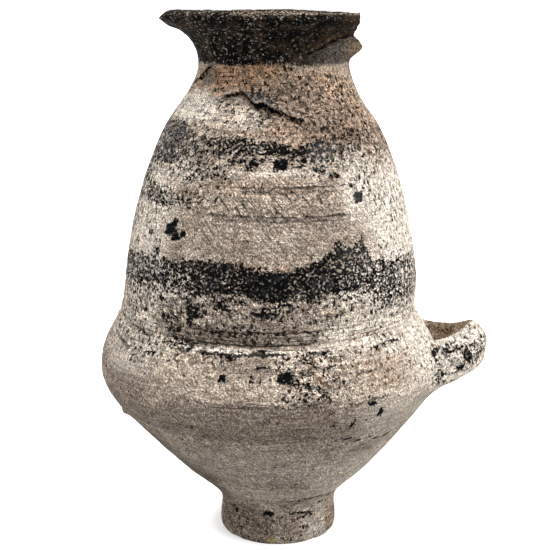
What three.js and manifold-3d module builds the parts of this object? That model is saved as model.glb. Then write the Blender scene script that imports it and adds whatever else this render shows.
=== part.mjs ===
// Impasto urn: a two-cone jar on a small foot, with a flared mouth that is broken on one side and one loop handle.
// It is one solid of hand-built, fired clay. Millimetres, +Z up. The origin is the centre of the foot's underside,
// and the handle points along +X. Azimuths are in degrees from the front, -Y, towards +X.
import * as THREE from "three";
import { mergeVertices } from "three/addons/utils/BufferGeometryUtils.js";
import Module from "manifold-3d";

const wasm = await Module();
wasm.setup();

// Heights
const urnHeight = 380;
const footHeight = 20;
const footFillet = 22;
const lowerConeHeight = 53;
const bellyHeight = 127;
const upperBellyHeight = 41;
const mouthHeight = 35;
const napeHeight = 35;
const lipBevel = 6.3;

// Radii
const footRadius = 43.8;
const footEdgeRound = 1.5;
const footBulgeHeight = 6;
const footWaistRadius = 42.8;
const coneStartRadius = 57.6;
const coneEndRadius = 106.2;
const bellyRadius = 123.8;
const shoulderRadius = 107.4;
const napeRadius = 69.9;
const neckRadius = 53.5;
const lipRadius = 80;
const lipRidgeRadius = 69;

// Leans of the outline where its stretches meet, in degrees outwards from upright
const coneStartLean = 48;
const coneEndLean = 40;
const underGrooveLean = -30;
const napeLean = -37;
const lipTipLean = 66;
const funnelLean = 52;

// Each stretch: how long it keeps its lean as it leaves and as it arrives, as shares of its chord, and its steps
const footFilletCurve = { leave: 0.33, arrive: 0.43, steps: 5 };
const lowerConeCurve = { leave: 0.4, arrive: 0.3, steps: 4 };
const underBellyCurve = { leave: 0.3, arrive: 0.3, steps: 5 };
const overBellyCurve = { leave: 0.38, arrive: 0.38, steps: 6 };
const shoulderCurve = { leave: 0.28, arrive: 0.24, steps: 9 };
const napeCurve = { leave: 0.42, arrive: 0.3, steps: 5 };
const flareCurve = { leave: 0.3, arrive: 0.5, steps: 7 };
const funnelCurve = { leave: 0.3, arrive: 0.4, steps: 5 };

// Points part of the way from one named place to the next, as a share inwards or outwards and a share up or down
const footHollow = [0.8, 0.5];
const lipRounding = [[0.15, 0.4], [0.5, 0.82]];
const floorFlat = 0.5;
const floorTurn = [0.78, 0.3];

// Two turned grooves at the foot of the shoulder
const grooveDepth = 1.2;
const grooveWidth = 2.6;
const grooveSpacing = 7.8;

// Walls
const wall = 8;
const floorThickness = 14;
const lipEdgeThickness = 2;

// The jar was raised by hand, so its sections drift away from the handle as they rise
const bellyDrift = -5.9;
const grooveDrift = -7.2;
const shoulderDrift = -5.3;
const napeDrift = -4.3;
const neckDrift = -3;

// Handle: a strap standing on edge, bent round into a loop that climbs outwards
const handleReach = 154.5;
const handleThickness = 16;
const handleStrapHeight = 32.8;
const handleTipHeight = 142.2;
const handleRootAbove = 4;
const handleRootBelow = 24.5;
const handleSaddle = 21;
const handleSpan = 92;
const handleSectionPower = 2.5;

// The handle's arches in plan, as shares: of its thickness for the faces' spread at the root, of its reach and its
// span for the bend, and of its span for how squarely each face turns at the tip
const handleSpreadShare = 0.62;
const handleBendReach = 0.42;
const handleBendSpan = 0.66;
const handleBendSpread = 0.8;
const handleOuterHug = 0.44;
const handleInnerHug = 0.28;
const handleUnderSaddle = 0.14;
const handleRootDepth = 12;

// Broken mouth: the lip is gone past this distance on the handle's side, down to a tongue of the neck
const breakDistance = 53.7;
const breakNotch = 3.4;
const breakNotchDrop = 17;
const breakTongueDrop = 26.5;
const breakTongueReach = 58.6;
const breakFarShear = 0.05;
const breakRimWays = [[0.45, 0.45], [0.8, 0.75]];
const breakLedgeWay = [0.5, 0.4];
const tongueFlare = 6.8;
const rimDroop = 2.3;
const tongueFocus = 4;

// A chip out of the lip, and two scars where the surface flaked off the shoulder
const chipAzimuth = -39;
const chipLength = 26;
const chipHeight = 7;
const chipDepth = 3;
const scarDepth = 2.2;
const scarFall = 17;
const scarShares = [1, 0.45, -0.6];
const scarTaper = 0.4;
const flakeDepth = 1.6;
const flakeFall = 13;
const cutterStandOff = 5;

// Fineness
const turns = 56;
const handleSteps = 22;
const handleSides = 14;
const chipColumns = 10;
const chipRows = 8;
const mergeDistance = 1e-4;

// Heights that follow
const grooveHeight = bellyHeight + upperBellyHeight;
const shoulderStart = grooveHeight + grooveSpacing + grooveWidth;
const neckHeight = urnHeight - mouthHeight;
const napeStart = neckHeight - napeHeight;
const lipTipHeight = urnHeight - lipBevel;

const radians = THREE.MathUtils.degToRad;
const { lerp, smoothstep } = THREE.MathUtils;

// A joint of the outline: its radius, its height and the outline's lean there, in degrees outwards from upright
function joint(radius, height, lean) {
  return { at: new THREE.Vector2(radius, height), lean: radians(lean) };
}

// A point part of the way between two radii and two heights
function partWay(fromRadius, toRadius, fromHeight, toHeight, [across, up]) {
  return new THREE.Vector2(lerp(fromRadius, toRadius, across), lerp(fromHeight, toHeight, up));
}

// A smooth stretch of outline between two joints, without its first point
function stretch(from, to, curve) {
  const chord = from.at.distanceTo(to.at);
  const along = (lean) => new THREE.Vector2(Math.sin(lean), Math.cos(lean));
  const leave = from.at.clone().addScaledVector(along(from.lean), chord * curve.leave);
  const arrive = to.at.clone().addScaledVector(along(to.lean), -chord * curve.arrive);
  return new THREE.CubicBezierCurve(from.at, leave, arrive, to.at).getPoints(curve.steps).slice(1);
}

const footWaist = joint(footWaistRadius, footHeight, 0);
const coneStart = joint(coneStartRadius, footHeight + footFillet, coneStartLean);
const coneEnd = joint(coneEndRadius, footHeight + footFillet + lowerConeHeight, coneEndLean);
const belly = joint(bellyRadius, bellyHeight, 0);
const underGroove = joint(shoulderRadius, grooveHeight, underGrooveLean);
const overGroove = joint(shoulderRadius - grooveWidth / 2, shoulderStart, 0);
const nape = joint(napeRadius, napeStart, napeLean);
const neck = joint(neckRadius, neckHeight, 0);
const lipTip = joint(lipRadius, lipTipHeight, lipTipLean);

const coneOutline = () => [
  coneStart.at,
  ...stretch(coneStart, coneEnd, lowerConeCurve),
  ...stretch(coneEnd, belly, underBellyCurve),
  ...stretch(belly, underGroove, overBellyCurve),
];

const shoulderOutline = () => [
  overGroove.at,
  ...stretch(overGroove, nape, shoulderCurve),
  ...stretch(nape, neck, napeCurve),
];

// The two grooves: each falls to its depth half way across its width
function grooveOutline() {
  const lower = underGroove.at;
  const upper = overGroove.at;
  const start = upper.clone().sub(new THREE.Vector2(0, grooveWidth));
  return [
    new THREE.Vector2(lower.x - grooveDepth, lower.y + grooveWidth / 2),
    new THREE.Vector2(lower.x - grooveWidth / 4, lower.y + grooveWidth),
    start,
    new THREE.Vector2(upper.x - grooveDepth, upper.y - grooveWidth / 2),
  ];
}

// The outside, from the middle of the underside to the middle of the mouth's plane
function outerOutline() {
  return [
    new THREE.Vector2(0, 0),
    new THREE.Vector2(footRadius - footEdgeRound, 0),
    new THREE.Vector2(footRadius - footEdgeRound / 4, footEdgeRound),
    new THREE.Vector2(footRadius, footBulgeHeight),
    partWay(footRadius, footWaistRadius, footBulgeHeight, footHeight, footHollow),
    footWaist.at,
    ...stretch(footWaist, coneStart, footFilletCurve).slice(0, -1),
    ...coneOutline(),
    ...grooveOutline(),
    ...shoulderOutline(),
    ...stretch(neck, lipTip, flareCurve),
    ...lipRounding.map((way) => partWay(lipRadius, lipRidgeRadius, lipTipHeight, urnHeight, way)),
    new THREE.Vector2(lipRidgeRadius, urnHeight),
    new THREE.Vector2(0, urnHeight),
  ];
}

// The outline moved inwards by the wall, square to itself
function walledOutline(points) {
  return points.map((point, i) => {
    const before = points[Math.max(i - 1, 0)];
    const after = points[Math.min(i + 1, points.length - 1)];
    const run = after.clone().sub(before).normalize();
    return new THREE.Vector2(point.x - wall * run.y, point.y + wall * run.x);
  });
}

// The hollow, from the floor to past the rim. It opens like a funnel in the mouth, where the wall thins to the lip.
function innerOutline() {
  const cone = walledOutline(coneOutline()).filter((point, i) => i % 2 === 0);
  const shoulder = walledOutline(shoulderOutline().slice(0, -2)).filter((point, i) => i % 2 === 0);
  const throat = joint(neckRadius - wall, neckHeight, 0);
  const ridge = joint(lipRidgeRadius, urnHeight + lipEdgeThickness, funnelLean);
  return [
    new THREE.Vector2(0, floorThickness),
    new THREE.Vector2(cone[0].x * floorFlat, floorThickness),
    partWay(0, cone[0].x, floorThickness, cone[0].y, floorTurn),
    ...cone,
    ...shoulder,
    throat.at,
    ...stretch(throat, ridge, funnelCurve),
    new THREE.Vector2(ridge.at.x, urnHeight + cutterStandOff),
    new THREE.Vector2(0, urnHeight + cutterStandOff),
  ];
}

// How far the section at a height has drifted along X
function drift(height) {
  const stations = [
    [footHeight, 0],
    [bellyHeight, bellyDrift],
    [grooveHeight, grooveDrift],
    [shoulderStart + grooveSpacing * 2, shoulderDrift],
    [napeStart, napeDrift],
    [neckHeight, neckDrift],
  ];
  return stations.slice(1).reduce((sum, [to, value], i) => {
    const [from, before] = stations[i];
    return sum + (value - before) * smoothstep(height, from, to);
  }, 0);
}

// The outside radius at a height
function radiusAt(height) {
  const points = coneOutline();
  const i = points.findIndex((point) => point.y >= height);
  const [under, over] = [points[i - 1], points[i]];
  return lerp(under.x, over.x, (height - under.y) / (over.y - under.y));
}

// Moves the points of a turned shape as the hand-built jar stands: the drift, the sunk rim and the wide tongue
function settle(geometry) {
  const place = geometry.attributes.position;
  for (let i = 0; i < place.count; i += 1) {
    const [x, y, z] = [place.getX(i), place.getY(i), place.getZ(i)];
    const radius = Math.hypot(x, y);
    const towardsHandle = radius > 0 ? Math.max(x / radius, 0) : 0;
    const widened = smoothstep(z, neckHeight, neckHeight + mouthHeight / 4) * towardsHandle ** tongueFocus;
    const spread = radius > 0 ? 1 + (tongueFlare * widened) / radius : 1;
    const sink = smoothstep(z, neckHeight, urnHeight) * smoothstep(x, 0, lipRadius) * rimDroop;
    place.setXYZ(i, x * spread + drift(z), y * spread, z - sink);
  }
  return geometry;
}

// A three.js geometry as a solid to join and cut
function solidFrom(geometry) {
  geometry.deleteAttribute("normal");
  geometry.deleteAttribute("uv");
  const merged = mergeVertices(geometry, mergeDistance);
  return new wasm.Manifold(
    new wasm.Mesh({
      numProp: 3,
      vertProperties: new Float32Array(merged.attributes.position.array),
      triVerts: new Uint32Array(merged.index.array),
    }),
  );
}

// A turned solid: the lathe turns about +Y, so it is stood up on +Z
function turned(outline) {
  const geometry = new THREE.LatheGeometry(outline, turns);
  geometry.rotateX(Math.PI / 2);
  return solidFrom(settle(geometry));
}

// A closed solid from rings of points, each ring a list of vectors, with the first and last rings capped
function loft(rings) {
  const sides = rings[0].length;
  const points = rings.flat();
  const middle = (ring) => ring.reduce((sum, p) => sum.add(p), new THREE.Vector3()).divideScalar(sides);
  const first = points.length;
  const last = points.length + 1;
  points.push(middle(rings[0]), middle(rings[rings.length - 1]));
  const faces = [];
  for (let side = 0; side < sides; side += 1) {
    const next = (side + 1) % sides;
    for (let ring = 0; ring + 1 < rings.length; ring += 1) {
      const [a, b] = [ring * sides + side, ring * sides + next];
      faces.push(a, b, b + sides, a, b + sides, a + sides);
    }
    const end = (rings.length - 1) * sides;
    faces.push(first, next, side, last, end + side, end + next);
  }
  const geometry = new THREE.BufferGeometry().setFromPoints(points);
  geometry.setIndex(faces);
  const solid = solidFrom(geometry);
  if (solid.volume() > 0) return solid;
  geometry.setIndex(faces.reverse());
  return solidFrom(geometry);
}

// The handle: its outer and inner faces are two arches in plan, and an upright oval section spans between them
function handleSolid() {
  const halfSpan = handleSpan / 2;
  const [tipTop, tipBottom] = [1, -1].map((side) => handleTipHeight + (side * handleStrapHeight) / 2);
  const rootX = Math.sqrt(radiusAt(handleTipHeight) ** 2 - halfSpan ** 2) + bellyDrift - handleRootDepth;
  const reach = handleReach - rootX;
  const arch = (spread, tip, hug) =>
    new THREE.CubicBezierCurve(
      new THREE.Vector2(rootX, halfSpan + spread),
      new THREE.Vector2(rootX + reach * handleBendReach, halfSpan * handleBendSpan + spread * handleBendSpread),
      new THREE.Vector2(tip, halfSpan * hug),
      new THREE.Vector2(tip, 0),
    );
  const spreadAtRoot = handleThickness * handleSpreadShare;
  const outerArch = arch(spreadAtRoot, handleReach, handleOuterHug);
  const innerArch = arch(-spreadAtRoot, handleReach - handleThickness, handleInnerHug);
  const edge = (...heights) =>
    new THREE.CubicBezierCurve(...heights.map((height) => new THREE.Vector2(0, height)));
  const upperEdge = edge(tipTop + handleRootAbove, tipTop - handleSaddle, tipTop, tipTop);
  const underBend = tipBottom - handleSaddle * handleUnderSaddle;
  const lowerEdge = edge(tipBottom - handleRootBelow, underBend, tipBottom, tipBottom);
  const rings = [];
  for (let step = 0; step <= handleSteps; step += 1) {
    const along = (2 * step) / handleSteps - 1;
    const fromRoot = 1 - Math.abs(along);
    const side = along < 0 ? -1 : 1;
    const [outer, inner] = [outerArch.getPoint(fromRoot), innerArch.getPoint(fromRoot)];
    const [top, bottom] = [upperEdge.getPoint(fromRoot).y, lowerEdge.getPoint(fromRoot).y];
    const ring = [];
    for (let i = 0; i < handleSides; i += 1) {
      const turn = (2 * Math.PI * i) / handleSides;
      const round = (value) => (1 + Math.sign(value) * Math.abs(value) ** (2 / handleSectionPower)) / 2;
      const plan = inner.clone().lerp(outer, round(Math.cos(turn)));
      ring.push(new THREE.Vector3(plan.x, side * plan.y, lerp(bottom, top, round(Math.sin(turn)))));
    }
    rings.push(ring);
  }
  return loft(rings);
}

// What the break took: a slab across the mouth, its edge stepping in to a notch and out again to the tongue
function breakSolid() {
  const tongueHeight = urnHeight - breakTongueDrop;
  const notchHeight = urnHeight - breakNotchDrop;
  const notch = breakDistance - breakNotch;
  const past = lipRadius + tongueFlare + cutterStandOff;
  const edge = new THREE.Shape([
    new THREE.Vector2(past, urnHeight + cutterStandOff * 2),
    new THREE.Vector2(breakDistance, urnHeight + cutterStandOff * 2),
    new THREE.Vector2(breakDistance, urnHeight - rimDroop),
    ...breakRimWays.map((way) => partWay(breakDistance, notch, urnHeight, notchHeight, way)),
    new THREE.Vector2(notch, notchHeight),
    partWay(notch, breakTongueReach, notchHeight, tongueHeight, breakLedgeWay),
    new THREE.Vector2(breakTongueReach, tongueHeight),
    new THREE.Vector2(past, tongueHeight - cutterStandOff),
  ]);
  const geometry = new THREE.ExtrudeGeometry(edge, { depth: past * 2, steps: 2, bevelEnabled: false });
  geometry.rotateX(Math.PI / 2);
  geometry.translate(0, past, 0);
  const place = geometry.attributes.position;
  for (let i = 0; i < place.count; i += 1) {
    place.setX(i, place.getX(i) - Math.max(place.getY(i), 0) * breakFarShear);
  }
  return solidFrom(geometry);
}

// A point of the outside at an azimuth and height, moved out by some distance and along X by the drift there
function outsidePoint(azimuth, height, out) {
  const points = shoulderOutline();
  const i = Math.max(points.findIndex((point) => point.y >= height), 1);
  const [under, over] = [points[i - 1], points[i]];
  const radius = lerp(under.x, over.x, (height - under.y) / (over.y - under.y)) + out;
  const turn = radians(azimuth);
  return new THREE.Vector3(radius * Math.sin(turn) + drift(height), -radius * Math.cos(turn), height);
}

// A scar below a broken edge: deepest along the edge, it comes out to the surface lower down.
// The edge is a list of azimuths and of heights below the neck.
function scarSolid(edge, depth, fall) {
  const rings = edge.map(([azimuth, drop], i) => {
    const taper = Math.sin((Math.PI * (i + 0.5)) / edge.length) ** scarTaper;
    const top = neckHeight - drop;
    const inside = scarShares.map((share, row) =>
      outsidePoint(azimuth, top - (fall * taper * row) / 2, -depth * share),
    );
    const outside = [0, 1].map((row) => outsidePoint(azimuth, top - fall * taper * (1 - row), cutterStandOff));
    return [...inside, ...outside];
  });
  return loft(rings);
}

const shoulderScarEdge = [
  [-33, 21.5],
  [-30, 19.5],
  [-21, 18.5],
  [-16, 22.5],
  [-10, 28],
  [-5, 26.5],
  [-1, 29.5],
  [8, 33.5],
  [14, 38],
  [19, 40.5],
];
const napeFlakeEdge = [
  [-70, 13],
  [-61, 8.5],
  [-52, 4.5],
  [-45, 3],
  [-39, 5],
  [-36, 9],
];

// The chip: a flat oval bite out of the lip's edge
function chipSolid() {
  const bite = new THREE.SphereGeometry(0.5, chipColumns, chipRows);
  bite.scale(chipLength, chipDepth * 2, chipHeight);
  bite.translate(0, -lipRadius, lipTipHeight);
  bite.rotateZ(radians(chipAzimuth));
  bite.translate(neckDrift, 0, 0);
  return solidFrom(bite);
}

const impasto = new THREE.MeshStandardMaterial({ color: 0xbfab97, roughness: 0.92, metalness: 0 });

const fired = turned(outerOutline())
  .add(handleSolid())
  .subtract(turned(innerOutline()))
  .subtract(breakSolid())
  .subtract(scarSolid(shoulderScarEdge, scarDepth, scarFall))
  .subtract(scarSolid(napeFlakeEdge, flakeDepth, flakeFall))
  .subtract(chipSolid());

const made = fired.getMesh();
const geometry = new THREE.BufferGeometry();
geometry.setAttribute("position", new THREE.BufferAttribute(made.vertProperties, 3));
geometry.setIndex(new THREE.BufferAttribute(made.triVerts, 1));

const urn = new THREE.Mesh(geometry, impasto);
urn.name = "urn";

const group = new THREE.Group();
group.add(urn);

export default group;
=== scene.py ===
# Impasto urn: a two-cone jar of hand-built fired clay, with a broken mouth and one loop handle.
# One closed surface takes the place of the plain solid, and its finish is clay, slip remains, soot and wear,
# with painted shade and painted highlights.
import itertools
import math

import bpy
import numpy as np
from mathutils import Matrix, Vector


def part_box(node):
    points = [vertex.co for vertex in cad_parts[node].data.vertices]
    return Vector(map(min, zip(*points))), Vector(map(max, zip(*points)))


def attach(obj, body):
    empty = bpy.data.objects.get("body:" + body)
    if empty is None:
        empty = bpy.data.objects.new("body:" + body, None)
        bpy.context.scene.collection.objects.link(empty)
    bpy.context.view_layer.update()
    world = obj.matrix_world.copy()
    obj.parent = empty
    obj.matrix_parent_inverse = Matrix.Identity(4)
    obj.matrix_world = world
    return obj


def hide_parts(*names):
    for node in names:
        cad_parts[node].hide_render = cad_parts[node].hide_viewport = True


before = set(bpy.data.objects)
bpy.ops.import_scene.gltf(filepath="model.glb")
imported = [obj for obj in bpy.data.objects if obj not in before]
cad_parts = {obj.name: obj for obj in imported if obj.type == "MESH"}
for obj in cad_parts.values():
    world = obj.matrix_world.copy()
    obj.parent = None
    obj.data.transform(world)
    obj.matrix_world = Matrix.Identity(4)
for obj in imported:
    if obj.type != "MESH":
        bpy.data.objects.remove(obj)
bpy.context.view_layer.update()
boxLow, boxHigh = [np.array(corner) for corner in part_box("urn")]
print("frame loaded, urn box", boxLow, boxHigh)

# Sizes in metres. A turning point of the outline is its radius, its height and its lean in degrees outwards.
urnForm = {
    "height": boxHigh[2],
    "footEdge": (0.0423, 0.0),
    "footChamfer": (0.0433, 0.0012, 20),
    "foot": (0.0438, 0.006, 0),
    "waist": (0.0428, 0.020, 0),
    "coneStart": (0.0576, 0.042, 48),
    "coneEnd": (0.1062, 0.095, 40),
    "belly": (boxHigh[1], 0.127, 0),
    "groove": (0.1074, 0.168, -30),
    "shoulder": (0.1061, 0.1784, 0),
    "nape": (0.0699, 0.310, -37),
    "neck": (0.0535, 0.345, 0),
    "lipTip": (0.080, boxHigh[2] - 0.0063, 66),
    "lipUnder": (0.080, boxHigh[2] - 0.0063, -20),
    "lipRidge": (0.069, boxHigh[2], -88),
    "lipEdge": 0.002,
    "wall": 0.008,
    "floorMiddle": (0.010, 0.014, 88),
    "floorLean": 46,
    "mouthLean": 52,
    "mouthOver": (0.001, 0.006),
    "rimDroop": 0.0023,
    "tongueFlare": 0.0068,
    "tongueRise": 0.00875,
    "driftHeights": [0.020, 0.127, 0.168, 0.194, 0.310, 0.345],
    "drifts": [0.0, -0.0059, -0.0072, -0.0053, -0.0043, -0.003],
    "columns": 440,
    "rows": 200,
    "frontCrowding": 0.42,
    "cavityColumns": 144,
    "cavityRows": 46,
    "throatSteps": 18,
    "rowHeights": [0.0, 0.044, 0.095, 0.097, 0.1035, 0.106, 0.128, 0.155, 0.162, 0.181, 0.186, 0.222, 0.240,
                   0.296, 0.303, 0.330, 0.345, 0.352, 0.368, 0.374],
    "rowShares": [1.7, 0.8, 0.8, 2.8, 2.8, 0.8, 1.2, 1.4, 2.6, 2.6, 1.3, 1.3, 0.9,
                  1.0, 2.6, 2.6, 1.7, 1.7, 1.7, 2.8],
}

# Unevenness of the clay as strength, size, seed and octaves of its noise, in metres or in degrees
unevenness = {
    "swell": (0.0006, 0.060, 11, 2),
    "lumps": (0.00042, 0.013, 12, 3),
    "wipes": (0.00022, 0.0046, 13, 2),
    "grain": (0.00016, 0.0024, 14, 2),
    "wave": (0.0007, 0.045, 15, 2),
    "mouth": (0.0003, 0.0035, 24, 2),
    "inside": (0.0007, 0.012, 31, 3),
    "strap": (0.0007, 0.020, 41, 2),
    "strapGrain": (0.0003, 0.005, 42, 3),
    "break": (0.0011, 0.011, 51, 3),
    "tear": (0.0009, 0.0045, 52, 2),
    "breakRise": (0.0010, 0.007, 53, 3),
    "edgeTurn": (1.6, 0.012, 61, 3),
    "edgeHeight": (0.0016, 0.012, 62, 3),
    "strapEdge": (0.0012, 0.009, 63, 3),
    "slipShare": (0.16, 0.009, 64, 2),
    "farSlip": (0.3, 0.013, 65, 3),
}

# Hollows as depth in metres, the noise's level where they start and where they are deepest, its size and seed
hollows = {
    "pits": (0.0014, 0.58, 0.80, 0.0075, 17),
    "foot": (0.0013, 0.10, 0.75, 0.011, 18),
    "nibbles": (0.0012, -0.15, 0.70, 0.0068, 19),
    "pocks": (0.0009, 0.30, 0.75, 0.006, 20),
    "strap": (0.0010, 0.55, 0.80, 0.0070, 43),
}


def between(low, high, value):
    # 0 below low, 1 above high, and a smooth 3t^2 - 2t^3 ramp from one to the other
    share = np.clip((value - low) / (high - low), 0.0, 1.0)
    return share * share * (3.0 - 2.0 * share)


def bell(value, middle, width):
    # 1 at the middle, falling off as exp(-(distance / width)^2)
    return np.exp(-(((value - middle) / width) ** 2))


def cloud(points, size, seed, octaves=3):
    # Value noise from -1 to 1: random numbers at the corners of a lattice, blended smoothly inside each cell,
    # with copies of half the size and half the strength added
    source = np.random.default_rng(seed)
    total, weight = 0.0, 0.0
    primes = np.array([73856093, 19349663, 83492791])
    for octave in range(octaves):
        table = source.random(4096)
        place = points * (2.0 ** octave / size) + 31.7 * (octave + 1)
        cell = np.floor(place).astype(np.int64)
        part = place - cell
        part = part * part * (3.0 - 2.0 * part)
        value = 0.0
        for corner in itertools.product((0, 1), repeat=3):
            nearness = np.where(np.array(corner) == 1, part, 1.0 - part).prod(axis=-1)
            key = ((cell + np.array(corner)) * primes).sum(axis=-1) & 4095
            value = value + nearness * table[key]
        total = total + value * 0.5 ** octave
        weight += 0.5 ** octave
    return 2.0 * total / weight - 1.0


def uneven(points, name):
    strength, size, seed, octaves = unevenness[name]
    return strength * cloud(points, size, seed, octaves)


def hollowed(points, name):
    depth, start, deepest, size, seed = hollows[name]
    return depth * between(start, deepest, cloud(points, size, seed, 2))


def cubic(share, start, leave, arrive, end):
    # (1-s)^3 start + 3(1-s)^2 s leave + 3(1-s) s^2 arrive + s^3 end, with s the share of the way
    rest = 1.0 - share
    middle = 3.0 * rest ** 2 * share * leave + 3.0 * rest * share ** 2 * arrive
    return rest ** 3 * start + middle + share ** 3 * end


def bend(start, end, leavePull, arrivePull, steps):
    # A cubic curve between turning points, pulled along the lean at each end by a share of the chord
    first, last = np.array(start[:2]), np.array(end[:2])
    chord = np.linalg.norm(last - first)
    leanFirst, leanLast = math.radians(start[2]), math.radians(end[2])
    leave = first + chord * leavePull * np.array([math.sin(leanFirst), math.cos(leanFirst)])
    arrive = last - chord * arrivePull * np.array([math.sin(leanLast), math.cos(leanLast)])
    return cubic(np.linspace(0.0, 1.0, steps + 1)[1:, None], first, leave, arrive, last)


def stretch(start, *bends):
    # Bends joined end to end, each given by its end, its two pulls and its steps
    line = [[start[:2]]]
    for end, leavePull, arrivePull, steps in bends:
        line.append(bend(start, end, leavePull, arrivePull, steps))
        start = end
    return np.vstack(line)


def direction(line):
    # The way the line runs at each point, as a step of length 1
    run = np.gradient(line, axis=0)
    return run / np.linalg.norm(run, axis=1)[:, None]


def coneLine():
    form = urnForm
    return stretch(form["coneStart"], (form["coneEnd"], 0.4, 0.3, 30), (form["belly"], 0.3, 0.3, 30),
                   (form["groove"], 0.38, 0.38, 40))


def shoulderLine():
    form = urnForm
    return stretch(form["shoulder"], (form["nape"], 0.28, 0.24, 90), (form["neck"], 0.42, 0.3, 40))


def outerLine():
    # Radius and height from the edge of the underside to the ridge of the lip
    form = urnForm
    foot = stretch(form["footChamfer"], (form["foot"], 0.4, 0.4, 6), (form["waist"], 0.4, 0.4, 12),
                   (form["coneStart"], 0.33, 0.43, 24))
    flare = bend(form["neck"], form["lipTip"], 0.3, 0.5, 40)
    lip = bend(form["lipUnder"], form["lipRidge"], 0.35, 0.4, 10)
    return np.vstack([[form["footEdge"]], foot, coneLine()[1:], shoulderLine(), flare, lip])


def walled(line):
    # The line moved in by the wall, square to itself
    run = direction(line)
    return line + urnForm["wall"] * np.stack([-run[:, 1], run[:, 0]], axis=1)


def innerLine():
    # The outline moved in by the wall, with a floor below and a funnel in the mouth that runs past the lip
    form = urnForm
    cone, shoulder = walled(coneLine()), walled(shoulderLine()[:-form["throatSteps"]])
    throat = (form["neck"][0] - form["wall"], form["neck"][1], 0)
    past = (form["lipRidge"][0], form["height"] + form["lipEdge"], form["mouthLean"])
    over = [form["lipRidge"][0] + form["mouthOver"][0], form["height"] + form["mouthOver"][1]]
    return np.vstack([
        stretch(form["floorMiddle"], ((*cone[0], form["floorLean"]), 0.45, 0.35, 20)),
        cone[1:],
        shoulder,
        stretch(throat, (past, 0.3, 0.4, 24)),
        [over],
    ])


def crowded(line, rows, thickening):
    # Points along a line, closer together where thickening(height) is larger
    steps = np.linalg.norm(np.diff(line, axis=0), axis=1)
    middle = 0.5 * (line[1:, 1] + line[:-1, 1])
    along = np.concatenate([[0.0], np.cumsum(steps * thickening(middle))])
    wanted = np.linspace(0.0, along[-1], rows)
    return np.stack([np.interp(wanted, along, line[:, 0]), np.interp(wanted, along, line[:, 1])], axis=1)


def drift(height):
    # Sideways drift of the hand-built sections: smooth steps between the heights where it was set
    total = np.zeros_like(height)
    heights, drifts = urnForm["driftHeights"], urnForm["drifts"]
    for i in range(1, len(heights)):
        total = total + (drifts[i] - drifts[i - 1]) * between(heights[i - 1], heights[i], height)
    return total


def settle(x, y, z):
    # The widened tongue on the handle's side, the sunk rim and the drift, as the solid has them
    form = urnForm
    neck = form["neck"][1]
    radius = np.maximum(np.hypot(x, y), 1e-9)
    towards = np.clip(x / radius, 0.0, 1.0) ** 4
    widened = between(neck, neck + form["tongueRise"], z) * towards
    wider = 1.0 + form["tongueFlare"] * widened / radius
    sink = between(neck, form["height"], z) * between(0.0, form["lipTip"][0], x) * form["rimDroop"]
    return x * wider + drift(z), y * wider, z - sink


# Broken edges as azimuths in degrees and heights in metres, with the depth of the step below and its fall
damage = {
    "scar": {
        "azimuths": [-37, -34, -32, -26, -20, -17, -14, -9, -5, -1, 3, 8, 13, 18, 22],
        "heights": [0.3205, 0.3225, 0.3250, 0.3262, 0.3272, 0.3255, 0.3228, 0.3190, 0.3200, 0.3176, 0.3160,
                    0.3140, 0.3112, 0.3092, 0.3075],
        "depth": 0.0030,
        "fall": 0.016,
    },
    "flake": {
        "azimuths": [-77, -72, -66, -60, -55, -51, -48, -44, -40, -36],
        "heights": [0.3305, 0.3325, 0.3352, 0.3385, 0.3415, 0.3425, 0.3400, 0.3350, 0.3300, 0.325],
        "depth": 0.0021,
        "fall": 0.015,
    },
    "mouth": {
        "azimuths": [24, 28, 31, 34, 39, 43, 46, 52, 57, 64],
        "heights": [0.3500, 0.3520, 0.3535, 0.3552, 0.3582, 0.3602, 0.3620, 0.3630, 0.3640, 0.3645],
        "depth": 0.0022,
        "fall": 0.012,
    },
}

# Marks of the turning and of wear, in metres and degrees: a height, a depth or a rise, and a width
marks = {
    "grooves": [(0.1688, 0.0015, 0.0011, 21), (0.1772, 0.0014, 0.0010, 22), (0.1730, 0.0005, 0.0007, 23)],
    "ledge": (0.1648, 0.0007, 0.0015),
    "crack": (0.0007, 0.0012, 0.0009),
    "crackLip": (0.0016, 0.0006, 0.0016),
    "lump": (0.1000, 0.0026, 0.0019),
    "lumpAzimuth": (-72, 4),
    "bead": (0.0098, 0.0016, 0.0028),
    "chip": (0.0055, 0.0030, 0.0038),
    "chipAzimuth": (-38, 11),
    "sunk": 0.0007,
    "wipeStretch": np.array([0.12, 0.12, 1.0]),
}


def window(low, high, fade, value):
    # 1 from low to high, with a smooth fade inside each end
    return between(low, low + fade, value) * (1.0 - between(high - fade, high, value))


def edgeHeight(azimuth, edge):
    return np.interp(azimuth, edge["azimuths"], edge["heights"])


def edgeScar(azimuth, height, edge):
    # A step down along a broken edge that comes out to the surface lower down: depth (1 - below / fall)^1.6
    below = edgeHeight(azimuth, edge) - height
    reach = window(edge["azimuths"][0], edge["azimuths"][-1], 6, azimuth)
    run = np.clip(1.0 - below / (edge["fall"] * (0.35 + 0.65 * reach)), 0.0, 1.0) ** 1.6
    return edge["depth"] * reach * between(-0.0004, 0.0004, below) * run


def ring(height, mark, level=None):
    # A mark right round: its rise times exp(-(distance / width)^2), at its own height or at a given one
    at, rise, width = mark
    return rise * bell(height, at if level is None else level, width)


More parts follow.
